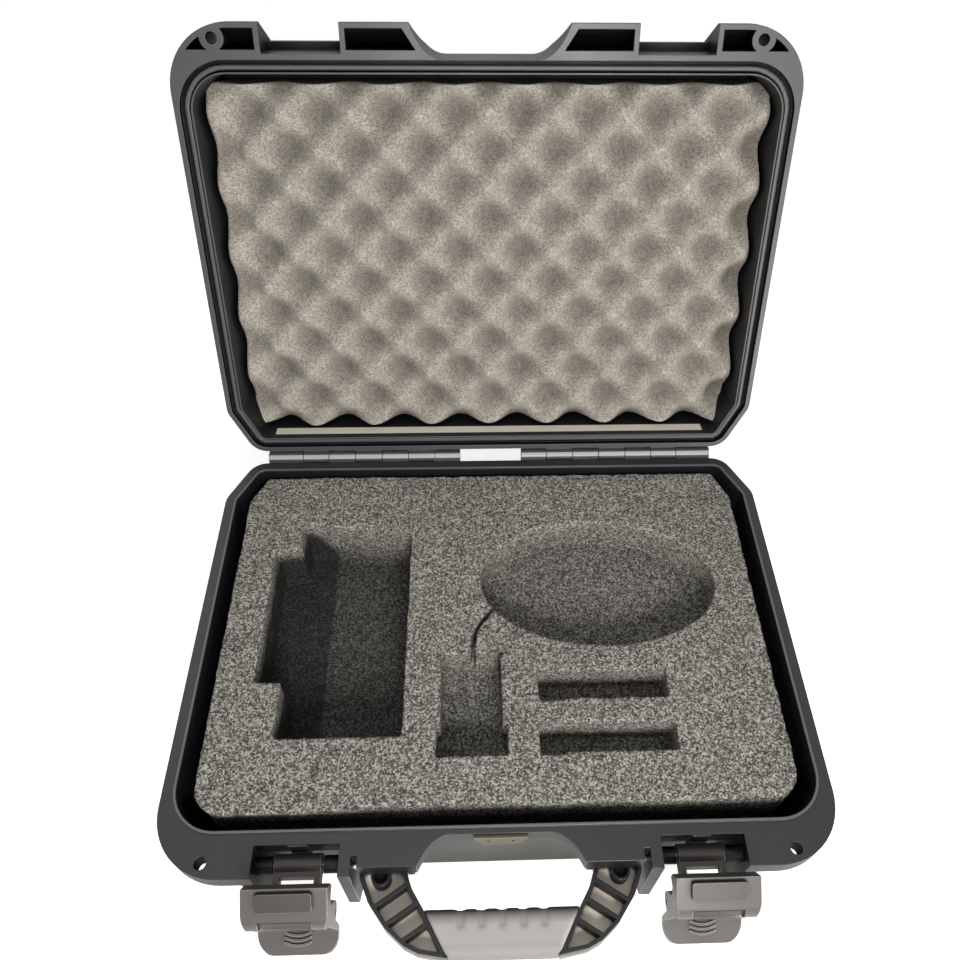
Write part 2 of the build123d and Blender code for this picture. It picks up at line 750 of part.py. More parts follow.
# Soft grip moulded round the core
with BuildPart() as handle_grip:
    with BuildSketch(Plane.XY.offset(handle_top_z + grip_skin)):
        with BuildLine():
            Polyline(
                (-grip_inner_half, grip_inner_y),
                (grip_inner_half, grip_inner_y),
                (grip_outer_half, grip_outer_y),
                (-grip_outer_half, grip_outer_y),
                close=True,
            )
        make_face()
    extrude(amount=-handle_thickness - 2 * grip_skin)
    fillet(handle_grip.edges().filter_by(Axis.X), grip_round)
    # Flutes for the fingers on the inner side
    for index in range(5):
        x = (index - 2) * flute_pitch
        with Locations((x, grip_inner_y - flute_reach / 2 + 1, handle_top_z + grip_skin)):
            Box(flute_width, flute_reach + 2, 2.4, mode=Mode.SUBTRACT)
        with Locations((x, grip_inner_y, handle_pivot_z)):
            Box(flute_width, 2.4, 2 * handle_thickness, mode=Mode.SUBTRACT)
    with Locations((0, (grip_inner_y + grip_outer_y) / 2, handle_pivot_z)):
        Box(2 * grip_outer_half + 40, grip_core_depth, grip_core_height, mode=Mode.SUBTRACT)
handle_grip.part.label = "handle_grip"
export_step(handle_grip.part, "parts/handle_grip.step")

# Pins that carry the handle between the inner ears and the cheeks
for side, name in ((-1, "left"), (1, "right")):
    with BuildPart() as handle_pin:
        with Locations(Location((side * handle_pin_x, handle_pivot_y, handle_pivot_z), (0, 90, 0))):
            Cylinder(handle_pin_radius, handle_pin_length)
    handle_pin.part.label = "handle_pin_" + name
    export_step(handle_pin.part, "parts/handle_pin_" + name + ".step")


def latch_point(out, up):
    """A point of the latch's side view, measured out and up from the body pivot."""
    return (body_pivot_y - out, body_pivot_z + up)


def link_profile():
    """Side of the swinging link: two barrels and the bar between them."""
    with BuildSketch(Plane.YZ) as profile:
        with Locations((link_pivot_y, link_pivot_z)):
            Circle(link_barrel_radius)
        with Locations((body_pivot_y, body_pivot_z)):
            Circle(link_tip_radius)
        with Locations(((link_pivot_y + body_pivot_y) / 2, body_pivot_z)):
            Rectangle(link_length, 1.6 * link_tip_radius)
    return profile.sketch


def body_profile():
    """Side of the latch body: claw, slope, front roll, front wall and the finger lever."""
    with BuildSketch(Plane.YZ) as profile:
        with BuildLine():
            Polyline(
                latch_point(*roll_foot),
                latch_point(plate_inner + 2.8, 6),
                latch_point(*lever_root),
                latch_point(*lever_tip),
                latch_point(*lever_tip_under),
                latch_point(lever_root[0] - 2.4, lever_root[1] - 1.2),
                latch_point(plate_foot, -12),
                latch_point(3.2, -4.5),
                latch_point(-3, -4),
                latch_point(-5, 0),
                latch_point(-3.5, 8),
                latch_point(0, 14),
                latch_point(-2.5, hook_height),
                latch_point(-7.5, hook_height),
                latch_point(-7.5, 24),
                latch_point(*bevel_top),
                latch_point(*bevel_low),
            )
            ThreePointArc(
                latch_point(*bevel_low),
                latch_point(*roll_front),
                latch_point(*roll_foot),
            )
        make_face()
        with Locations(latch_point(0, 0)):
            Circle(latch_boss_radius)
    return profile.sketch


def hollow_profile():
    """Side of the space between the cheeks of the latch body."""
    with BuildSketch(Plane.YZ) as profile:
        with BuildLine():
            Polyline(
                latch_point(plate_foot, -12),
                latch_point(plate_inner, 6),
                latch_point(plate_inner, 10),
                latch_point(7.5, 17.5),
                latch_point(hook_inner, 26.7),
                latch_point(hook_inner, hook_height),
                latch_point(-12, hook_height),
                latch_point(-12, -12),
                close=True,
            )
        make_face()
    return profile.sketch


def plan_view():
    """Latch body from above, with the front corners rounded off."""
    with BuildSketch(Plane.XY) as view:
        with Locations((0, latch_point(lever_tip[0] / 2 - 10, 0)[0])):
            Rectangle(2 * latch_half_width, lever_tip[0] + 20)
        fillet(view.vertices().group_by(Axis.Y)[0], lever_corner)
    return view.sketch


# The roll carries on the slope without an edge, and the lever hangs out under it
bevel_run = bevel_low[0] - bevel_top[0]
bevel_fall = bevel_top[1] - bevel_low[1]
bevel_length = math.hypot(bevel_run, bevel_fall)
roll_out = bevel_low[0] - roll_radius * bevel_fall / bevel_length
roll_up = bevel_low[1] - roll_radius * bevel_run / bevel_length
roll_slant = roll_radius / math.sqrt(2)
roll_front = (roll_out + roll_radius, roll_up)
roll_foot = (roll_out + roll_slant, roll_up - roll_slant)
lever_run = lever_tip[0] - lever_root[0]
lever_fall = lever_root[1] - lever_tip[1]
lever_length = math.hypot(lever_run, lever_fall)
lever_tip_under = (
    lever_tip[0] - lever_thickness * lever_fall / lever_length,
    lever_tip[1] - lever_thickness * lever_run / lever_length,
)

latch_link_side = link_profile()
latch_body_side = body_profile()
latch_hollow_side = hollow_profile()
latch_plan = plan_view()
finger_line = CenterArc((0, 0), finger_arc[0], 270 - finger_arc[1] / 2, finger_arc[1])
latch_boss_side = disc_profile(body_pivot_y, body_pivot_z, latch_boss_radius)
slide_middle = slide_width / 2 + slide_edge
slide_out = bevel_top[0] + slide_middle * bevel_run / bevel_length
slide_up = bevel_top[1] - slide_middle * bevel_fall / bevel_length
bevel_plane = Plane(
    origin=(0, *latch_point(slide_out, slide_up)),
    x_dir=(1, 0, 0),
    z_dir=(0, -bevel_fall, bevel_run),
)
lever_plane = Plane(
    origin=(0, *latch_point(*lever_root)),
    x_dir=(1, 0, 0),
    z_dir=(0, -lever_fall, lever_run),
)

with BuildPart() as latch_link:
    extrude(latch_link_side.moved(Location((-link_width / 2, 0, 0))), link_width)
    with Locations((0, (link_pivot_y + body_pivot_y) / 2 - 0.7, body_pivot_z)):
        Box(link_width - 2 * link_arm, link_window, 3 * link_tip_radius, mode=Mode.SUBTRACT)
    with Locations(
        Location((0, link_pivot_y, link_pivot_z), (0, 90, 0)),
        Location((0, body_pivot_y, body_pivot_z), (0, 90, 0)),
    ):
        Cylinder(latch_pin_radius + pin_clearance, link_width + 2, mode=Mode.SUBTRACT)

with BuildPart() as latch_body:
    extrude(latch_body_side.moved(Location((-latch_half_width, 0, 0))), 2 * latch_half_width)
    extrude(latch_plan.moved(Location((0, 0, body_pivot_z))), 50, both=True, mode=Mode.INTERSECT)
    hollow_half = latch_half_width - latch_cheek
    hollow = latch_hollow_side.moved(Location((-hollow_half, 0, 0)))
    extrude(hollow, 2 * hollow_half, mode=Mode.SUBTRACT)
    # Bosses on the cheeks at the pivot
    for start in (-hollow_half - 0.5, link_width / 2 + latch_play):
        boss_length = hollow_half + 0.5 - link_width / 2 - latch_play
        extrude(latch_boss_side.moved(Location((start, 0, 0))), boss_length)
    with Locations(Location((0, body_pivot_y, body_pivot_z), (0, 90, 0))):
        Cylinder(latch_pin_radius + pin_clearance, 2 * latch_half_width + 2, mode=Mode.SUBTRACT)
    # Flat cut in the middle of the roll, above the finger ridges
    with Locations((0, *latch_point(roll_flat[1] + 5, roll_up))):
        Box(roll_flat[0], 10, 3 * roll_radius, mode=Mode.SUBTRACT)
    # Slot for the stem of the slide
    with BuildSketch(bevel_plane):
        with Locations((slide_travel / 2, -slide_stem_shift)):
            stem_slot = slide_stem_length + slide_travel + 2 * slide_play
            Rectangle(stem_slot, slide_stem_width + 2 * slide_play)
    extrude(amount=-8, mode=Mode.SUBTRACT)
    # Curved finger ridges on the lever
    with BuildSketch(lever_plane):
        for index in range(finger_count):
            with Locations((0, finger_arc[0] - (index + 0.7) * finger_pitch)):
                SlotArc(finger_line, finger_width)
    extrude(amount=finger_height)

with BuildPart() as latch_slide:
    with BuildSketch(bevel_plane):
        RectangleRounded(slide_length, slide_width, 1.5)
    extrude(amount=slide_thickness)
    with BuildSketch(bevel_plane):
        with Locations((0, -slide_stem_shift)):
            Rectangle(slide_stem_length, slide_stem_width)
    extrude(amount=-slide_stem_depth)
    with BuildSketch(bevel_plane.offset(-slide_stem_depth)):
        with Locations((0, -slide_stem_shift)):
            Rectangle(slide_stem_length, slide_stem_width + 2.4)
    extrude(amount=-1.0)

with BuildPart() as latch_link_pin:
    with Locations(Location((0, link_pivot_y, link_pivot_z), (0, 90, 0))):
        Cylinder(latch_pin_radius, link_pin_length)

with BuildPart() as latch_body_pin:
    with Locations(Location((0, body_pivot_y, body_pivot_z), (0, 90, 0))):
        Cylinder(latch_pin_radius, 2 * latch_half_width - 0.6)

# Each latch is the same set of parts, once left and once right
latch_pieces = {
    "link": latch_link,
    "body": latch_body,
    "slide": latch_slide,
    "link_pin": latch_link_pin,
    "body_pin": latch_body_pin,
}
for side, name in ((-1, "left"), (1, "right")):
    for piece_name, piece in latch_pieces.items():
        with BuildPart() as placed:
            add(piece.part.moved(Location((side * latch_x, 0, 0))))
        placed.part.label = "latch_" + name + "_" + piece_name
        export_step(placed.part, "parts/latch_" + name + "_" + piece_name + ".step")
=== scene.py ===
# %% [markdown]
# A small hard carrying case, open on a pale table: black moulded shells, a grey
# cut foam in the base, an egg-crate foam in the lid, two draw latches and a
# folding handle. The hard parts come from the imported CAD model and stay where
# they are. Blender gives them their plastics and steel, and makes the foams,
# the rubber grip and the seal.

# %% Load the frame
import math

import bpy
import bmesh
from mathutils import Matrix, Vector, noise


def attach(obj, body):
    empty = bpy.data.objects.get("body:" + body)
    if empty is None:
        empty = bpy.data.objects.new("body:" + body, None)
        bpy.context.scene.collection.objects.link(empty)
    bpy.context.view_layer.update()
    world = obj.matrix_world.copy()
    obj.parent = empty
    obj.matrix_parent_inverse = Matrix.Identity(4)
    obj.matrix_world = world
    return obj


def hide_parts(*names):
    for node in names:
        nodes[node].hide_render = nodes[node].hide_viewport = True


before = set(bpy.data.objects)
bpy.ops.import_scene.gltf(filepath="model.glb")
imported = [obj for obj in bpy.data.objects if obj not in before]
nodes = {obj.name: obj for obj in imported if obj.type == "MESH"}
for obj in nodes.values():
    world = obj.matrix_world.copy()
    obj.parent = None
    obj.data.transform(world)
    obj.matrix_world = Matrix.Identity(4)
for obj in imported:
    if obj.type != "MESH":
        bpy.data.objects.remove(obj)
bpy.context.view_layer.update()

# %% [markdown]
# The lid turns about the hinge axis. Its pieces are easiest to draw with the
# lid shut, where depth is a plain height, so one function carries a point from
# the shut lid to the open one. All sizes are typed in millimetres.

# %% Places on the case
MM = 0.001
HINGE_Y = 136.5
RIM_Z = 77.0
LID_REACH = 277.5
LID_ANGLE = math.radians(109.6)


def opened(y, z):
    """Y and Z from the hinge axis in the shut lid, turned to the open lid."""
    c, s = math.cos(-LID_ANGLE), math.sin(-LID_ANGLE)
    return y * c - z * s, y * s + z * c


def lid_point(x, reach, depth):
    """A point in the open lid: across, out from the hinge, and down into the lid."""
    y, z = opened(-reach, depth)
    return Vector((x, HINGE_Y + y, RIM_Z + z)) * MM


def lid_turn(x, y, z):
    """A direction of the shut lid, carried to the open lid."""
    return Vector((x, *opened(y, z)))


print("lid front edge at", lid_point(0, LID_REACH, 0))

# %% [markdown]
# The camera stands where the photographer stood: in front, above, looking
# down at fifty degrees and turned a little to the right. Its lens is 32 mm on
# a 36 mm wide frame, and a small shift puts the case where the photo has it.

# %% Camera
CAMERA_TURN = (2.77, 50.17, 1.47)
CAMERA_MM = (-11.2, -257.7, 549.5)
FOCAL_PIXELS, PHOTO_PIXELS = 857.93, 960
SENSOR_MM = 36


def put_in_scene(name, data):
    """A new object with its data, linked to the scene."""
    made = bpy.data.objects.new(name, data)
    bpy.context.scene.collection.objects.link(made)
    return made


def look_frame(yaw, pitch, roll):
    """Camera axes from the turn to the right, the tilt down and the roll, in degrees."""
    yaw, pitch, roll = (math.radians(v) for v in (yaw, pitch, roll))
    level = math.cos(pitch)
    forward = Vector((math.sin(yaw) * level, math.cos(yaw) * level, -math.sin(pitch)))
    right = Vector((math.cos(yaw), -math.sin(yaw), 0))
    up = right.cross(forward)
    right_rolled = math.cos(roll) * right + math.sin(roll) * up
    up_rolled = -math.sin(roll) * right + math.cos(roll) * up
    return right_rolled, up_rolled, -forward


camera_data = bpy.data.cameras.new("camera")
camera = put_in_scene("camera", camera_data)
standpoint = Matrix(look_frame(*CAMERA_TURN)).transposed().to_4x4()
standpoint.translation = Vector(CAMERA_MM) * MM
camera.matrix_world = standpoint
camera_data.sensor_width = SENSOR_MM
camera_data.lens = FOCAL_PIXELS / PHOTO_PIXELS * SENSOR_MM
camera_data.shift_x = -0.0225
camera_data.shift_y = -0.0255
camera_data.clip_start = 0.01
bpy.context.scene.camera = camera
print("camera at", [round(v, 3) for v in camera.location], "lens", round(camera_data.lens, 2))

# %% [markdown]
# Every material here is a small network of nodes. One function adds a node with
# its settings and links, one turns the sRGB colours of this file to the linear
# ones that Blender computes with, and one starts an empty material.

# %% Node helpers


def add_node(tree, kind, settings=None, links=None):
    """Adds one shader node, sets its values and joins its inputs."""
    made = tree.nodes.new(kind)
    for name, value in (settings or {}).items():
        if isinstance(name, int) or name in made.inputs:
            made.inputs[name].default_value = value
        else:
            setattr(made, name, value)
    for name, source in (links or {}).items():
        tree.links.new(source, made.inputs[name])
    return made


def srgb(text):
    """Linear colour from an sRGB hex value."""
    parts = [int(text[i : i + 2], 16) / 255 for i in (1, 3, 5)]
    linear = [c / 12.92 if c <= 0.04045 else ((c + 0.055) / 1.055) ** 2.4 for c in parts]
    return (*linear, 1.0)


def new_material(name):
    """An empty node material with its output."""
    material = bpy.data.materials.new(name)
    material.use_nodes = True
    material.node_tree.nodes.clear()
    output = add_node(material.node_tree, "ShaderNodeOutputMaterial")
    return material, material.node_tree, output


print("helpers ready")

# %% [markdown]
# The case stands in a photo tent: a pale sheet under it and pale cloth all
# round. Such a tent could be built as a box, but its cloth would light the case
# far too much. So the world gives a weak light of its own, and turns white only
# for what the camera sees, for glass and for mirrored light. The sheet does the
# same with a little glow, and still takes the soft shadow of the case.

# %% Table and tent
TABLE_HALF = 6
TABLE_DROP = 0.0002
TABLE_GLOW = 0.68
TABLE_GLOW_MIRRORED = 0.22
TENT_LIGHT = 0.24


def seen_white(tree, glossy_share):
    """One for what the camera sees, also through glass, and a share for mirrored light."""
    ray = add_node(tree, "ShaderNodeLightPath")
    direct = add_node(
        tree,
        "ShaderNodeMath",
        {"operation": "ADD", "use_clamp": True},
        {0: ray.outputs["Is Camera Ray"], 1: ray.outputs["Is Transmission Ray"]},
    )
    both_ways = add_node(
        tree,
        "ShaderNodeMath",
        {"operation": "MULTIPLY_ADD", 1: glossy_share, "use_clamp": True},
        {0: ray.outputs["Is Glossy Ray"], 2: direct.outputs[0]},
    )
    return both_ways.outputs[0]


corners = [(-1, -1), (1, -1), (1, 1), (-1, 1)]
table_mesh = bpy.data.meshes.new("table_top")
table_mesh.from_pydata([(x * TABLE_HALF, y * TABLE_HALF, 0) for x, y in corners], [], [range(4)])
table_top = put_in_scene("table_top", table_mesh)
table_top.location.z = -TABLE_DROP
table_sheet, tree, output = new_material("pale_table")
sheet = add_node(tree, "ShaderNodeBsdfDiffuse", {"Color": srgb("#f2f2f0")})
seen = seen_white(tree, TABLE_GLOW_MIRRORED)
strength = add_node(tree, "ShaderNodeMath", {"operation": "MULTIPLY", 1: TABLE_GLOW}, {0: seen})
glow = add_node(
    tree, "ShaderNodeEmission", {"Color": (1, 1, 1, 1)}, {"Strength": strength.outputs[0]}
)
both = add_node(tree, "ShaderNodeAddShader", {}, {0: sheet.outputs[0], 1: glow.outputs[0]})
tree.links.new(both.outputs[0], output.inputs["Surface"])
table_mesh.materials.append(table_sheet)

world = bpy.data.worlds.new("tent")
bpy.context.scene.world = world
world.use_nodes = True
tent = world.node_tree.nodes["Background"]
tent.inputs["Color"].default_value = (0.98, 0.99, 1.0, 1)
strength = add_node(
    world.node_tree,
    "ShaderNodeMath",
    {"operation": "MULTIPLY_ADD", 1: 1 - TENT_LIGHT, 2: TENT_LIGHT},
    {0: seen_white(world.node_tree, 1.0)},
)
world.node_tree.links.new(strength.outputs[0], tent.inputs["Strength"])
print("table:", 2 * TABLE_HALF, "m wide, tent light:", TENT_LIGHT)

# %% [markdown]
# The main lamp hangs in front, nearly straight ahead and a little to the right:
# it reaches the far walls of the pockets, leaves the near ends dark, and fades
# towards the back of the base, as in the photo. A weak one overhead opens the
# shadows in the pockets. A low one on the right rakes the bumps of the lid foam
# and the ends of the latches, and a wide one behind draws the bright lines
# along the rims.

# %% Lamps


def soft_lamp(name, where, target, size, power, colour):
    """An area lamp that looks at a point."""
    data = bpy.data.lights.new(name, "AREA")
    data.shape = "RECTANGLE"
    data.size, data.size_y = size
    data.energy = power
    data.color = colour
    lamp = put_in_scene(name, data)
    lamp.location = where
    aim = Vector(target) - Vector(where)
    lamp.rotation_euler = aim.to_track_quat("-Z", "Y").to_euler()
    return lamp


FOAM_MIDDLE = (0, -0.05, 0.08)
soft_lamp("key_front", (0.12, -0.8, 0.64), FOAM_MIDDLE, (0.3, 0.3), 10, (1.0, 0.99, 0.96))
soft_lamp("overhead", (0, -0.3, 1.15), FOAM_MIDDLE, (0.5, 0.4), 1.6, (1.0, 1.0, 0.99))
soft_lamp("low_right", (0.75, -0.95, 0.08), (0, 0.15, 0.22), (0.3, 0.25), 10, (1.0, 0.98, 0.95))
soft_lamp("ceiling_back", (-0.3, 0.7, 1.3), (0, 0.1, 0.1), (0.8, 0.4), 2.2, (0.96, 0.98, 1.0))

# %% [markdown]
# Mouldings get the same marks whatever their plastic. Hands and tables rub the
# outer edges paler and smoother, and the paler colour is also a painted
# highlight. The tight inner corners get a painted shade, and deep recesses lose
# most of their sheen, a painted shade in the reflections. Masks drawn for one
# view would suit that view only. Here the Bevel node finds the edges and the
# Ambient Occlusion node the corners and recesses, so the marks follow the shape.
# The Bevel node also rounds the light on sharp corners, as the tool's small
# radii do, without touching the mesh.

# %% Worn edges, painted highlight and painted shade on a moulding
# Near-black painted shade for the tight inner corners.
CORNER_SHADE = "#060708"
RECESS_MM = 25


def wear_and_shade(tree, corner_mm):
    """The rounded normal, worn edges with a painted highlight, and painted shade in corners and
    recesses.
    """
    rounded = add_node(tree, "ShaderNodeBevel", {"samples": 6, "Radius": corner_mm * MM})
    flat = add_node(tree, "ShaderNodeNewGeometry")
    turned = add_node(
        tree,
        "ShaderNodeVectorMath",
        {"operation": "DOT_PRODUCT"},
        {0: rounded.outputs[0], 1: flat.outputs["True Normal"]},
    )
    edge = add_node(
        tree,
        "ShaderNodeMapRange",
        {"From Min": 0.975, "From Max": 0.8},
        {"Value": turned.outputs["Value"]},
    )
    around = add_node(tree, "ShaderNodeAmbientOcclusion", {"samples": 4, "Distance": 2.0 * MM})
    open_air = add_node(
        tree,
        "ShaderNodeMapRange",
        {"From Min": 0.62, "From Max": 0.9},
        {"Value": around.outputs["AO"]},
    )
    # Paler edges: wear, and a painted highlight along them.
    edge_wear_and_highlight = add_node(
        tree,
        "ShaderNodeMath",
        {"operation": "MULTIPLY"},
        {0: edge.outputs[0], 1: open_air.outputs[0]},
    )
    # Painted shade in the tight inner corners, stronger where the occlusion is deeper.
    corner_shade = add_node(
        tree,
        "ShaderNodeMapRange",
        {"From Min": 0.35, "From Max": 0.75, "To Min": 0.85, "To Max": 0.0},
        {"Value": around.outputs["AO"]},
    )
    # Painted shade in the reflections: deep recesses lose most of their specular level.
    recess = add_node(
        tree, "ShaderNodeAmbientOcclusion", {"samples": 6, "Distance": RECESS_MM * MM}
    )
    sheen = add_node(
        tree,
        "ShaderNodeMapRange",
        {"From Min": 0.45, "From Max": 0.92, "To Min": 0.02, "To Max": 0.5},
        {"Value": recess.outputs["AO"]},
    )
    return rounded.outputs[0], edge_wear_and_highlight.outputs[0], corner_shade.outputs[0], sheen.outputs[0]


print("wear ready, corner_shade_colour", CORNER_SHADE)

# %% [markdown]
# Some faces of the case get a colour and a sheen of their own, and most of them
# are painted light: the flat rims are painted paler than the walls, a pale line
# is painted on the ridge of the base rim, the hinge knuckles get a painted
# highlight with a bright band on their crowns, the bay wall behind the handle
# and the floors of the handle's webs a painted reflection, and the rims of the
# webs and the flats under the latch rolls a painted shade. A pale cream strip
# runs along the rear wall of the lid. The CAD pieces have one material each, so
# such a face is found by its place instead: a point belongs to it where it lies
# close to the face's plane or to the axis of its barrel. The walls lean by four
# degrees, the draft that lets a moulding leave its tool. Each face then has its
# shapes, its colour and its sheen.


# %% Faces found by their place
def near_place(tree, place, shapes):
    """One where a point lies near all the shapes: kind, centre, direction and reach in mm."""
    inside = None
    for kind, centre, direction, reach_mm in shapes:
        offset = add_node(
            tree,
            "ShaderNodeVectorMath",
            {"operation": "SUBTRACT", 1: Vector(centre) * MM},
            {0: place},
        )
        product = "DOT_PRODUCT" if kind == "plane" else "CROSS_PRODUCT"
        away = add_node(
            tree,
            "ShaderNodeVectorMath",
            {"operation": product, 1: direction},
            {0: offset.outputs[0]},
        )
        if kind == "axis":
            away = add_node(
                tree, "ShaderNodeVectorMath", {"operation": "LENGTH"}, {0: away.outputs[0]}
            )
        near = add_node(
            tree,
            "ShaderNodeMath",
            {"operation": "COMPARE", 1: 0.0, 2: reach_mm * MM},
            {0: away.outputs["Value"]},
        ).outputs[0]
        if inside:
            near = add_node(
                tree, "ShaderNodeMath", {"operation": "MULTIPLY"}, {0: inside, 1: near}
            ).outputs[0]
        inside = near
    return inside


X_AXIS, Y_AXIS, Z_AXIS = (1, 0, 0), (0, 1, 0), (0, 0, 1)
MIDDLE = (0, 0, 0)
HINGE = (0, HINGE_Y, RIM_Z)
FACE_REACH = 0.3
KNUCKLE_RADIUS = 4.7
CROWN_SQUARE, CROWN_HALF = (0, 0.766, 0.643), 1.5
RIDGE_Z = RIM_Z + 1
DRAFT_COS, DRAFT_SIN = 0.9976, 0.0698
BAY_WALL, BAY_HALF = (0, -118.86, 34.46), 48
WALL_REACH, WALL_DEPTH, WALL_HALF = 17.06, 19.5, 152
STRIP_REACH, STRIP_DEPTH, STRIP_HALF = 17, 9.0, 4.0
WEB_FLOOR_Z, WEB_RIM_Z = 55, 64
LATCH_X = 106
ROLL_FRONT, ROLL_MIDDLE_Z, ROLL_HALF_X, ROLL_HALF_Z = -163.2, 77.8, 13, 8

lid_normal = lid_turn(0, 0, 1)
wall_normal = lid_turn(0, DRAFT_COS, DRAFT_SIN)
wall_point = lid_point(0, WALL_REACH, WALL_DEPTH) / MM
strip_point = lid_point(0, STRIP_REACH, STRIP_DEPTH) / MM
barrels = ("axis", HINGE, X_AXIS, KNUCKLE_RADIUS)

# Painted highlight: the hinge knuckles are a lighter grey than the shell.
knuckles = ([barrels], "#3b3c3f", 0.4)
# Painted highlight: a bright band along the crowns of the hinge knuckles.
knuckle_crown_highlight = ([barrels, ("plane", HINGE, CROWN_SQUARE, CROWN_HALF)], "#97989c", 0.5)
# Painted light: the flat top of the base rim a little paler than the walls.
base_rim_painted_light = ([("plane", HINGE, Z_AXIS, FACE_REACH)], "#1b1c1d", 0.5)
# Painted highlight: a pale line along the ridge of the base rim.
base_ridge_highlight = ([("plane", (0, 0, RIDGE_Z), Z_AXIS, 0.2)], "#565654", 0.5)
# Painted reflection: a khaki tone, with less sheen, on the bay wall behind the handle.
bay_wall_reflection = (
    [
        ("plane", BAY_WALL, (0, -DRAFT_COS, -DRAFT_SIN), 0.1),
        ("plane", MIDDLE, X_AXIS, BAY_HALF),
    ],
    "#24231d",
    0.35,
)
# Painted reflection: the flat rim of the lid in a paler grey.
lid_rim_reflection = ([("plane", HINGE, lid_normal, FACE_REACH)], "#3a3938", 0.5)
lid_rear_edge = (
    [
        ("plane", wall_point, wall_normal, 0.2),
        ("plane", strip_point, lid_normal, STRIP_HALF),
        ("plane", MIDDLE, X_AXIS, WALL_HALF),
    ],
    "#e2ddd0",
    0.5,
)
# Painted reflection: the floors of the handle's webs in a pale taupe.
web_floor_reflection = ([("plane", (0, 0, WEB_FLOOR_Z), Z_AXIS, FACE_REACH)], "#e6dccb", 0.5)
# Painted shade: the rims of the handle's webs darker than the rest of the nylon.
web_rim_shade = ([("plane", (0, 0, WEB_RIM_Z), Z_AXIS, FACE_REACH)], "#0c0c0c", 0.4)
# Painted shade: a dark flat under each latch roll, with almost no sheen.
roll_flat_shade = [
    (
        [
            ("plane", (0, ROLL_FRONT, 0), Y_AXIS, 0.35),
            ("plane", (x, 0, 0), X_AXIS, ROLL_HALF_X),
            ("plane", (0, 0, ROLL_MIDDLE_Z), Z_AXIS, ROLL_HALF_Z),
        ],
        "#2b2623",
        0.05,
    )
    for x in (-LATCH_X, LATCH_X)
]
print("rim faces at", RIM_Z, "mm, knuckles of radius", KNUCKLE_RADIUS, "mm")

# %% [markdown]
# The shells of such a case are polypropylene, injection moulded in a tool whose
# walls were spark eroded, which leaves a fine even grain: black, half dull, with
# a broad soft highlight. The real grain is about 0.3 mm wide, which is too fine
# to show here, so it is drawn at 0.7 mm. A wide soft noise makes the gloss
# uneven, as handling does. The handle, the latches and the vent cover are nylon,
# harder and a little glossier, so the same recipe serves with other values.

# %% Moulded plastics
CLOUD_MM = 45


def moulded(
    name,
    colour,
    edge_wear_and_highlight_colour,
    roughness,
    grain_mm,
    grain_depth_mm,
    corner_mm,
    patches=(),
    shade_fades=(),
):
    """A grained moulded plastic with paler edges, worn and with a painted highlight.

    patches: places with a colour and a sheen of their own, mostly painted light and shade.
    shade_fades: painted shade along Y: where its colour starts and where it is full, in
    millimetres.
    """
    material, tree, output = new_material(name)
    place = add_node(tree, "ShaderNodeTexCoord").outputs["Object"]
    rounded, edge_wear_and_highlight, corner_shade, sheen = wear_and_shade(tree, corner_mm)
    # Paler edges, worn and with a painted highlight.
    tint = add_node(
        tree,
        "ShaderNodeMix",
        {"data_type": "RGBA", 6: srgb(colour), 7: srgb(edge_wear_and_highlight_colour)},
        {0: edge_wear_and_highlight},
    ).outputs[2]
    # Places with a colour and a sheen of their own, mostly painted light and shade.
    for shapes, patch_colour, patch_sheen in patches:
        here = near_place(tree, place, shapes)
        tint = add_node(
            tree,
            "ShaderNodeMix",
            {"data_type": "RGBA", 7: srgb(patch_colour)},
            {0: here, 6: tint},
        ).outputs[2]
        sheen = add_node(
            tree, "ShaderNodeMix", {"data_type": "FLOAT", 3: patch_sheen}, {0: here, 2: sheen}
        ).outputs[0]
    # Painted shade along Y.
    for start_mm, full_mm, shade_colour in shade_fades:
        along = add_node(tree, "ShaderNodeSeparateXYZ", {}, {0: place}).outputs["Y"]
        share = add_node(
            tree,
            "ShaderNodeMapRange",
            {"From Min": start_mm * MM, "From Max": full_mm * MM},
            {"Value": along},
        ).outputs[0]
        tint = add_node(
            tree,
            "ShaderNodeMix",
            {"data_type": "RGBA", 7: srgb(shade_colour)},
            {0: share, 6: tint},
        ).outputs[2]
    # Painted shade in the tight inner corners.
    tint = add_node(
        tree, "ShaderNodeMix", {"data_type": "RGBA", 7: srgb(CORNER_SHADE)}, {0: corner_shade, 6: tint}
    ).outputs[2]
    cloud = add_node(
        tree, "ShaderNodeTexNoise", {"Scale": 1 / (CLOUD_MM * MM), "Detail": 3.0}, {"Vector": place}
    )
    dull = add_node(
        tree,
        "ShaderNodeMapRange",
        {"From Min": 0.3, "From Max": 0.7, "To Min": roughness - 0.05, "To Max": roughness + 0.07},
        {"Value": cloud.outputs["Fac"]},
    )
    polished = add_node(
        tree,
        "ShaderNodeMath",
        {"operation": "MULTIPLY_ADD", 1: -0.15, "use_clamp": True},
        {0: edge_wear_and_highlight, 2: dull.outputs[0]},
    )
    grain = add_node(
        tree,
        "ShaderNodeTexNoise",
        {"Scale": 1 / (grain_mm * MM), "Detail": 2.0, "Roughness": 0.6},
        {"Vector": place},
    )
    bump = add_node(
        tree,
        "ShaderNodeBump",
        {"Strength": 1.0, "Distance": grain_depth_mm * MM},
        {"Height": grain.outputs["Fac"], "Normal": rounded},
    )
    surface = add_node(
        tree,
        "ShaderNodeBsdfPrincipled",
        {"IOR": 1.49},
        {
            "Base Color": tint,
            "Roughness": polished.outputs[0],
            "Specular IOR Level": sheen,
            "Normal": bump.outputs[0],
        },
    )
    tree.links.new(surface.outputs[0], output.inputs["Surface"])
    return material


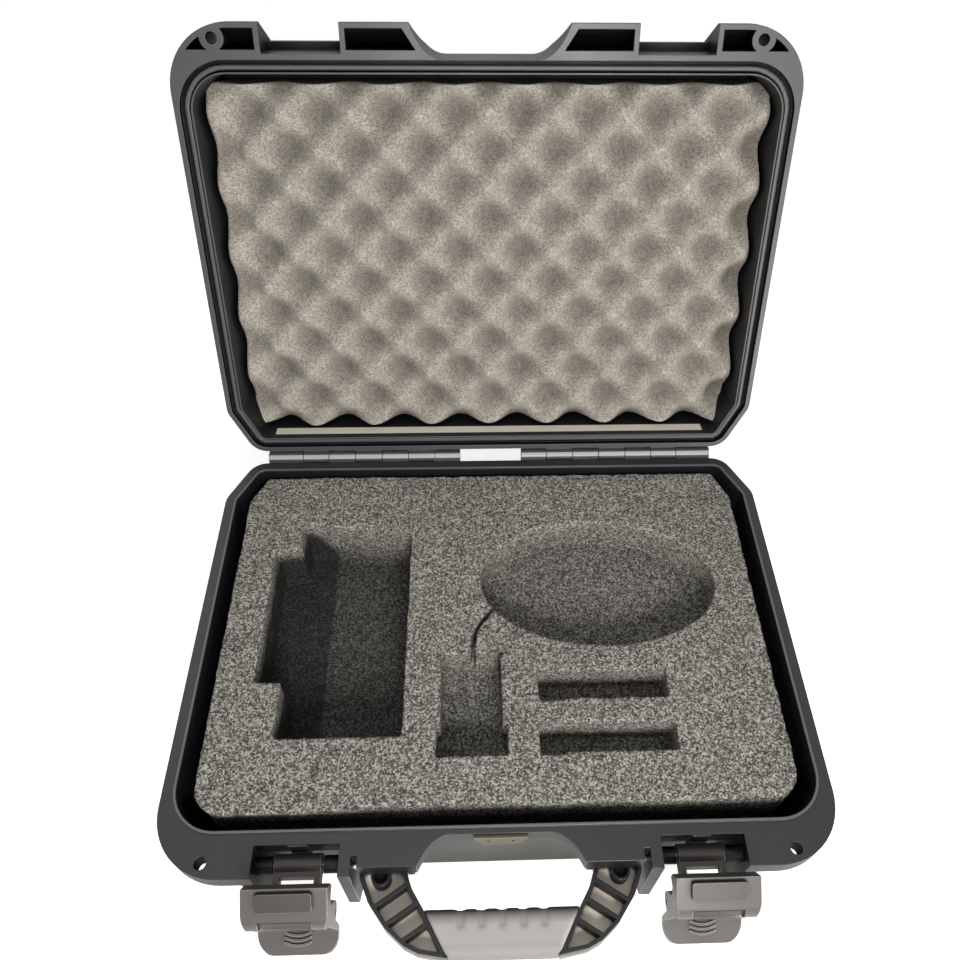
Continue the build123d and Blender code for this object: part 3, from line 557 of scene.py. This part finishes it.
SHELL = {"colour": "#141518", "roughness": 0.42, "grain_mm": 0.7, "grain_depth_mm": 0.05}
base_plastic = moulded(
    "black_polypropylene_base",
    edge_wear_and_highlight_colour="#a3a39f",
    corner_mm=0.7,
    patches=(base_rim_painted_light, base_ridge_highlight, bay_wall_reflection, knuckles, knuckle_crown_highlight),
    **SHELL,
)
lid_plastic = moulded(
    "black_polypropylene_lid",
    edge_wear_and_highlight_colour="#a9a7a2",
    corner_mm=0.6,
    patches=(lid_rim_reflection, lid_rear_edge, knuckles, knuckle_crown_highlight),
    **SHELL,
)
black_nylon = moulded(
    "black_glass_filled_nylon",
    "#1c1b1a",
    "#9a9488",
    roughness=0.33,
    grain_mm=0.6,
    grain_depth_mm=0.03,
    corner_mm=0.6,
    patches=(web_floor_reflection, web_rim_shade),
)
latch_nylon = moulded(
    "grey_brown_nylon",
    "#4c4744",
    "#a39c94",
    roughness=0.3,
    grain_mm=0.6,
    grain_depth_mm=0.015,
    corner_mm=0.8,
    patches=roll_flat_shade,
)
slide_nylon = moulded(
    "dark_brown_nylon",
    "#2a2625",
    "#857e7a",
    roughness=0.34,
    grain_mm=0.6,
    grain_depth_mm=0.02,
    corner_mm=0.7,
)
vent_nylon = moulded(
    "olive_nylon",
    "#4b493c",
    "#a39c85",
    roughness=0.5,
    grain_mm=0.6,
    grain_depth_mm=0.02,
    corner_mm=0.5,
)
print("plastics:", base_plastic.name, lid_plastic.name, black_nylon.name, latch_nylon.name)

# %% [markdown]
# The grip is a soft thermoplastic rubber moulded round the core of the handle:
# pale warm grey and dull, with a very fine matt texture. Its two long edges get
# a painted shade, drawn along Y. The seal is black foam rubber. Both are the
# same recipe with other values.

# %% Soft rubber, and the seal
# Painted shade along the grip's rear and front edges.
REAR_EDGE_SHADE = (-162.5, -155.0, "#2c2c2e")
FRONT_EDGE_SHADE = (-170.0, -176.5, "#75716f")
grip_rubber = moulded(
    "grey_soft_rubber",
    "#a09b9a",
    "#b3aeac",
    roughness=0.72,
    grain_mm=0.9,
    grain_depth_mm=0.05,
    corner_mm=0.9,
    shade_fades=(REAR_EDGE_SHADE, FRONT_EDGE_SHADE),
)
seal_foam_rubber = moulded(
    "black_foam_rubber",
    "#46474a",
    "#8a8a88",
    roughness=0.42,
    grain_mm=0.8,
    grain_depth_mm=0.05,
    corner_mm=0.5,
)
print("rubbers:", grip_rubber.name, seal_foam_rubber.name)

# %% [markdown]
# The hinge, handle and latch pins are drawn stainless steel. Drawing leaves fine
# lines along the wire, so the noise is stretched along X, the way all pins run.
# A metal takes its colour from its reflections, and keeps the default IOR.

# %% Drawn steel
ALONG_WIRE, ACROSS_WIRE = 40.0, 4000.0
steel, tree, output = new_material("drawn_stainless_steel")
place = add_node(tree, "ShaderNodeTexCoord").outputs["Object"]
stretch = add_node(
    tree, "ShaderNodeMapping", {"Scale": (ALONG_WIRE, ACROSS_WIRE, ACROSS_WIRE)}, {"Vector": place}
)
lines = add_node(
    tree, "ShaderNodeTexNoise", {"Scale": 1.0, "Detail": 2.0}, {"Vector": stretch.outputs[0]}
)
scratch = add_node(
    tree, "ShaderNodeMapRange", {"To Min": 0.22, "To Max": 0.45}, {"Value": lines.outputs["Fac"]}
)
bright = add_node(
    tree,
    "ShaderNodeMix",
    {"data_type": "RGBA", 6: srgb("#8d8e90"), 7: srgb("#c9cacb")},
    {0: lines.outputs["Fac"]},
)
pin_bump = add_node(
    tree,
    "ShaderNodeBump",
    {"Strength": 0.6, "Distance": 0.02 * MM},
    {"Height": lines.outputs["Fac"]},
)
surface = add_node(
    tree,
    "ShaderNodeBsdfPrincipled",
    {"Metallic": 1.0},
    {
        "Base Color": bright.outputs[2],
        "Roughness": scratch.outputs[0],
        "Normal": pin_bump.outputs[0],
    },
)
tree.links.new(surface.outputs[0], output.inputs["Surface"])
print("lines across the wire:", 1000 / ACROSS_WIRE, "mm apart")

# %% Dress the hard pieces
finishes = {
    "base_shell": base_plastic,
    "lid_shell": lid_plastic,
    "handle_frame": black_nylon,
    "vent_cover": vent_nylon,
}
for side in ("left", "right"):
    latch = "latch_" + side
    finishes[latch + "_link"] = latch_nylon
    finishes[latch + "_body"] = latch_nylon
    finishes[latch + "_slide"] = slide_nylon
    finishes[latch + "_link_pin"] = steel
    finishes[latch + "_body_pin"] = steel
    finishes["hinge_pin_" + side] = steel
    finishes["handle_pin_" + side] = steel


def dress(piece, material):
    """Gives a piece one material in a single slot."""
    piece.data.materials.clear()
    piece.data.materials.append(material)
    for face in piece.data.polygons:
        face.material_index = 0


for name, material in finishes.items():
    dress(nodes[name], material)
print(len(finishes), "hard pieces dressed")

# %% [markdown]
# Both foams are cut from open-cell polyurethane. The base foam is the coarse
# charcoal kind, and its cut face is a salt-and-pepper of pale cell walls and
# dark cells, about 1 mm wide in the photo. A Voronoi pattern gives each cell its
# own shade, a finer noise breaks the cells up, and the surface is very rough.
# Down in the pockets the same pattern is darkened with depth under the top
# face, a painted shade. The lid foam is the fine grey kind, with painted shade
# in the valleys of its bumps.


# %% Foams
def foam(name, dark, middle, pale, cell_mm, bump_mm, deep=None):
    """Open-cell foam.

    deep: painted shade with depth: where it starts and ends, its colour and its share.
    """
    material, tree, output = new_material(name)
    place = add_node(tree, "ShaderNodeTexCoord").outputs["Object"]
    warp = add_node(
        tree,
        "ShaderNodeTexNoise",
        {"Scale": 0.7 / (cell_mm * MM), "Detail": 1.0},
        {"Vector": place},
    )
    moved = add_node(
        tree,
        "ShaderNodeVectorMath",
        {"operation": "MULTIPLY_ADD", 1: (cell_mm * MM,) * 3},
        {0: warp.outputs["Color"], 2: place},
    )
    cells = add_node(
        tree, "ShaderNodeTexVoronoi", {"Scale": 1 / (cell_mm * MM)}, {"Vector": moved.outputs[0]}
    )
    cell_shade = add_node(tree, "ShaderNodeSeparateColor", {}, {"Color": cells.outputs["Color"]})
    fine = add_node(
        tree,
        "ShaderNodeTexNoise",
        {"Scale": 1.6 / (cell_mm * MM), "Detail": 3.0, "Roughness": 0.7},
        {"Vector": place},
    )
    mixed = add_node(
        tree,
        "ShaderNodeMix",
        {"data_type": "FLOAT", 0: 0.5},
        {2: cell_shade.outputs[0], 3: fine.outputs["Fac"]},
    )
    ramp = add_node(tree, "ShaderNodeValToRGB", {}, {"Fac": mixed.outputs[0]})
    stops = ramp.color_ramp.elements
    stops[0].position, stops[0].color = 0.26, srgb(dark)
    stops[1].position, stops[1].color = 0.76, srgb(pale)
    stops.new(0.5).color = srgb(middle)
    colour = ramp.outputs[0]
    # Painted shade, darker with depth under the top face.
    if deep:
        start_mm, end_mm, depth_colour, share = deep
        depth = add_node(tree, "ShaderNodeAttribute", {"attribute_name": "depth_mm"})
        sunk = add_node(
            tree,
            "ShaderNodeMapRange",
            {"From Min": start_mm, "From Max": end_mm, "To Max": share},
            {"Value": depth.outputs["Fac"]},
        )
        colour = add_node(
            tree,
            "ShaderNodeMix",
            {"data_type": "RGBA", 7: srgb(depth_colour)},
            {0: sunk.outputs[0], 6: colour},
        ).outputs[2]
    bump = add_node(
        tree,
        "ShaderNodeBump",
        {"Strength": 1.0, "Distance": bump_mm * MM},
        {"Height": mixed.outputs[0]},
    )
    surface = add_node(
        tree,
        "ShaderNodeBsdfPrincipled",
        {"Roughness": 0.95, "Specular IOR Level": 0.2},
        {"Base Color": colour, "Normal": bump.outputs[0]},
    )
    tree.links.new(surface.outputs[0], output.inputs["Surface"])
    return material


# Painted shade in the pockets of the base foam, growing with depth.
POCKET_SHADE = (14.0, 46.0, "#0d0f12", 0.9)
# Painted shade in the valleys of the lid foam's bumps.
VALLEY_SHADE = (7.0, 18.0, "#403c38", 0.6)
base_foam_cells = foam(
    "charcoal_polyurethane_foam",
    "#343331",
    "#6d6b65",
    "#bbb6ad",
    cell_mm=0.88,
    bump_mm=0.35,
    deep=POCKET_SHADE,
)
pad_foam_cells = foam(
    "charcoal_polyurethane_sheet", "#202020", "#3a3a38", "#6a6863", cell_mm=1.7, bump_mm=0.4
)
lid_foam_cells = foam(
    "grey_polyurethane_foam",
    "#78736c",
    "#958f86",
    "#b0a99f",
    cell_mm=0.8,
    bump_mm=0.12,
    deep=VALLEY_SHADE,
)
print("foams:", base_foam_cells.name, pad_foam_cells.name, lid_foam_cells.name)

# %% [markdown]
# Soft pieces have no knife-sharp edges. Each starts as a copy of its CAD mesh,
# remeshed to an even skin of small faces. The foams' points then move in or out
# by a fraction of a millimetre, as torn cells do, and the rubber's are smoothed
# until its edges look moulded.


# %% Skins for the soft pieces
def skin_over(node, name, voxel_mm):
    """A new object with the node's mesh, remeshed to even faces."""
    piece = put_in_scene(name, nodes[node].data.copy())
    remesh = piece.modifiers.new("skin", "REMESH")
    remesh.mode = "VOXEL"
    remesh.voxel_size = voxel_mm * MM
    finished = piece.evaluated_get(bpy.context.evaluated_depsgraph_get())
    skin = bpy.data.meshes.new_from_object(finished)
    piece.modifiers.clear()
    piece.data = skin
    piece.data.name = name
    return piece


def roughen(piece, size_mm, depth_mm):
    """Moves each point along its normal by smooth noise."""
    mesh = piece.data
    normals = [v.normal.copy() for v in mesh.vertices]
    for vertex, normal in zip(mesh.vertices, normals):
        push = noise.noise(vertex.co / (size_mm * MM)) * depth_mm * MM
        vertex.co += normal * push
    mesh.update()


def soften(piece, rounds):
    """Smooths the points several times, which rounds every edge."""
    shape = bmesh.new()
    shape.from_mesh(piece.data)
    for _ in range(rounds):
        bmesh.ops.smooth_vert(
            shape,
            verts=shape.verts,
            factor=0.5,
            use_axis_x=True,
            use_axis_y=True,
            use_axis_z=True,
        )
    shape.to_mesh(piece.data)
    shape.free()


def mark_depth(piece, depth_of):
    """Writes how deep each point lies, in millimetres, for the foam's painted shade to read."""
    layer = piece.data.attributes.new("depth_mm", "FLOAT", "POINT")
    layer.data.foreach_set("value", [depth_of(v.co / MM) for v in piece.data.vertices])


def smooth_faces(piece):
    """Shades every face smooth."""
    piece.data.polygons.foreach_set("use_smooth", [True] * len(piece.data.polygons))


print("skin helpers ready")

# %% [markdown]
# The thick base foam keeps the shape of its CAD solid. Its front face leans back
# a little at the top and wavers, because such blocks are cut by hand with a hot
# wire. The cells in the gap before it and on the left wall of the large pocket
# get more painted shade than the rest, since little light reaches them.

# %% Cut foam in the base
FOAM_TOP = 72.0
FOAM_FRONT = -108.0
SHADED_WALL_X = (-146, -108)
SHADED_WALL_Y = (-68, 84)
SHADED_WALL_FADE = 14
FRAY_HEIGHT = 20
FRAY_REACH = 14
CALM_X, CALM_FADE, CALM_LEAST = -85, 20, 0.15
LEAN, WAVER, WAVER_LENGTH = 3.4, 1.6, 28


def cut_shade_depth(point):
    """Depth for the painted shade. The front face, in its gap, and a pocket's left wall count more.
    """
    below = max(0.0, FOAM_TOP - 1 - point.z)
    # The front face in its gap gets three times the painted shade.
    if point.y < FOAM_FRONT + 2:
        return 3 * below
    left, right = SHADED_WALL_X
    near, far = SHADED_WALL_Y
    if left < point.x < right and near < point.y < far:
        return below * (1 + 2 * min(1.0, (right - point.x) / SHADED_WALL_FADE))
    return below


def fray_front(piece):
    """Leans the top of the front face back, less at the left, in a slow uneven wave."""
    for vertex in piece.data.vertices:
        x, y, z = vertex.co / MM
        height = min(1.0, max(0.0, (z - FOAM_TOP + FRAY_HEIGHT) / FRAY_HEIGHT))
        near = min(1.0, max(0.0, (FOAM_FRONT + FRAY_REACH - y) / FRAY_REACH))
        along = min(1.0, max(CALM_LEAST, (x - CALM_X) / CALM_FADE))
        wave = LEAN * along + WAVER * noise.noise(Vector((x / WAVER_LENGTH, 0.5, 0.5)))
        vertex.co.y += height**2 * near * wave * MM


cut_foam = skin_over("base_foam", "base_cut_foam", 1.1)
mark_depth(cut_foam, cut_shade_depth)
fray_front(cut_foam)
roughen(cut_foam, 14, 0.7)
roughen(cut_foam, 3, 0.45)
smooth_faces(cut_foam)
dress(cut_foam, base_foam_cells)
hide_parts("base_foam")
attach(cut_foam, "base")
print("base foam:", len(cut_foam.data.polygons), "faces")

# %% [markdown]
# Under it lies a plain sheet of the same foam, which shows only as a dark line
# in the gap round the block. It gets the same skin with larger faces.

# %% Plain pad under the foam
floor_pad = skin_over("base_pad", "base_floor_pad", 3.0)
roughen(floor_pad, 20, 0.6)
smooth_faces(floor_pad)
dress(floor_pad, pad_foam_cells)
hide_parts("base_pad")
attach(floor_pad, "base")
print("pad:", len(floor_pad.data.polygons), "faces")

# %% [markdown]
# The lid foam is an egg-crate sheet: a profile-cut pad with rows of staggered
# bumps. Squeezed between shaped rollers and sliced, it comes out as a smooth
# wave, so a product of two cosines gives its face. The case's wall squashes the
# wave at the left edge. The sheet is a closed grid: the wavy face, a flat back
# on the lid's ceiling, and straight cut sides that slice through the bumps
# wherever they fall, which gives the wavy outline.

# %% Egg-crate wave
FOAM_LEFT, FOAM_RIGHT = -167.0, 168.0
FOAM_NEAR, FOAM_FAR = 20.0, 244.0
CREST_PITCH_X, CREST_PITCH_D = 41.0, 42.1
CREST_X, CREST_D = -144.2, 227.8
VALLEY_DEPTH, CREST_DEPTH = 28.0, 10.0
BACK_DEPTH = 38.8
SQUASH_LEAST, SQUASH_FADE = 0.6, 20
WANDER, WANDER_LENGTH = 1.2, 30


def lid_depth(point):
    """How deep in the lid a point of the case lies, from the plane of the rim."""
    out, up = point.y - HINGE_Y, point.z - RIM_Z
    return out * math.sin(LID_ANGLE) + up * math.cos(LID_ANGLE)


def crate_depth(x, d):
    """How deep in the lid the wavy face lies, at a place across and out from the hinge."""
    wave = math.cos(math.pi * (x - CREST_X) / (CREST_PITCH_X / 2)) * math.cos(
        math.pi * (d - CREST_D) / (CREST_PITCH_D / 2)
    )
    squashed = min(1.0, max(SQUASH_LEAST, (x - FOAM_LEFT) / SQUASH_FADE))
    middle = (VALLEY_DEPTH + CREST_DEPTH) / 2
    wander = WANDER * noise.noise(Vector((x / WANDER_LENGTH, d / WANDER_LENGTH, 3.0)))
    return middle + (VALLEY_DEPTH - CREST_DEPTH) / 2 * wave * squashed + wander


print("wave from", CREST_DEPTH, "to", VALLEY_DEPTH, "mm under the rim")

# %% Egg-crate foam in the lid
STEP = 1.6
SIDE_LEVELS = 8


def rim_loop(grid):
    """The grid's outer points, once round."""
    near_and_right = grid[0] + [row[-1] for row in grid[1:]]
    return near_and_right + grid[-1][-2::-1] + [row[0] for row in grid[-2:0:-1]]


columns = round((FOAM_RIGHT - FOAM_LEFT) / STEP)
rows = round((FOAM_FAR - FOAM_NEAR) / STEP)
crate = bmesh.new()
face_grid, back_grid = [], []
for row in range(rows + 1):
    face_row, back_row = [], []
    for column in range(columns + 1):
        x = FOAM_LEFT + (FOAM_RIGHT - FOAM_LEFT) * column / columns
        d = FOAM_NEAR + (FOAM_FAR - FOAM_NEAR) * row / rows
        face_row.append(crate.verts.new(lid_point(x, d, crate_depth(x, d))))
        back_row.append(crate.verts.new(lid_point(x, d, BACK_DEPTH)))
    face_grid.append(face_row)
    back_grid.append(back_row)
for row in range(rows):
    for column in range(columns):
        for grid, turn in ((face_grid, 1), (back_grid, -1)):
            near_pair = grid[row][column : column + 2]
            far_pair = grid[row + 1][column : column + 2]
            crate.faces.new((near_pair + far_pair[::-1])[::turn])
loop_face, loop_back = rim_loop(face_grid), rim_loop(back_grid)
previous = loop_face
for level in range(1, SIDE_LEVELS + 1):
    current = loop_back
    if level < SIDE_LEVELS:
        share = level / SIDE_LEVELS
        current = [crate.verts.new(f.co.lerp(g.co, share)) for f, g in zip(loop_face, loop_back)]
    for i in range(len(loop_face)):
        j = (i + 1) % len(loop_face)
        crate.faces.new((previous[j], previous[i], current[i], current[j]))
    previous = current
bmesh.ops.recalc_face_normals(crate, faces=crate.faces)
crate_mesh = bpy.data.meshes.new("lid_egg_crate_foam")
crate.to_mesh(crate_mesh)
crate.free()
egg_crate = put_in_scene("lid_egg_crate_foam", crate_mesh)
# Depth under the crests, for the painted shade in the valleys.
mark_depth(egg_crate, lambda point: max(0.0, lid_depth(point) - CREST_DEPTH))
roughen(egg_crate, 3, 0.25)
smooth_faces(egg_crate)
dress(egg_crate, lid_foam_cells)
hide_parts("lid_foam")
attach(egg_crate, "lid")
print("egg-crate foam:", len(crate_mesh.polygons), "faces")

# %% [markdown]
# The grip is moulded soft rubber, so its flutes have rounded lips. A fine skin
# over the CAD solid, smoothed several times, gives them that.

# %% Rubber grip
soft_grip = skin_over("handle_grip", "handle_rubber_grip", 0.8)
soften(soft_grip, 5)
smooth_faces(soft_grip)
dress(soft_grip, grip_rubber)
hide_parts("handle_grip")
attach(soft_grip, "handle")
print("grip:", len(soft_grip.data.polygons), "faces")

# %% [markdown]
# The seal is a cord of foam rubber pressed into the groove of the lid. Its CAD
# solid is a square bar, and a fine skin smoothed several times turns it into a
# soft round bead in the same place.

# %% Seal in the lid
seal_bead = skin_over("gasket", "lid_seal_bead", 0.8)
soften(seal_bead, 4)
smooth_faces(seal_bead)
dress(seal_bead, seal_foam_rubber)
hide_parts("gasket")
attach(seal_bead, "lid")
print("seal:", len(seal_bead.data.polygons), "faces")

# %% [markdown]
# The picture uses the plain Standard view, so colours come out as they are
# written.

# %% Finish
bpy.context.scene.view_settings.view_transform = "Standard"
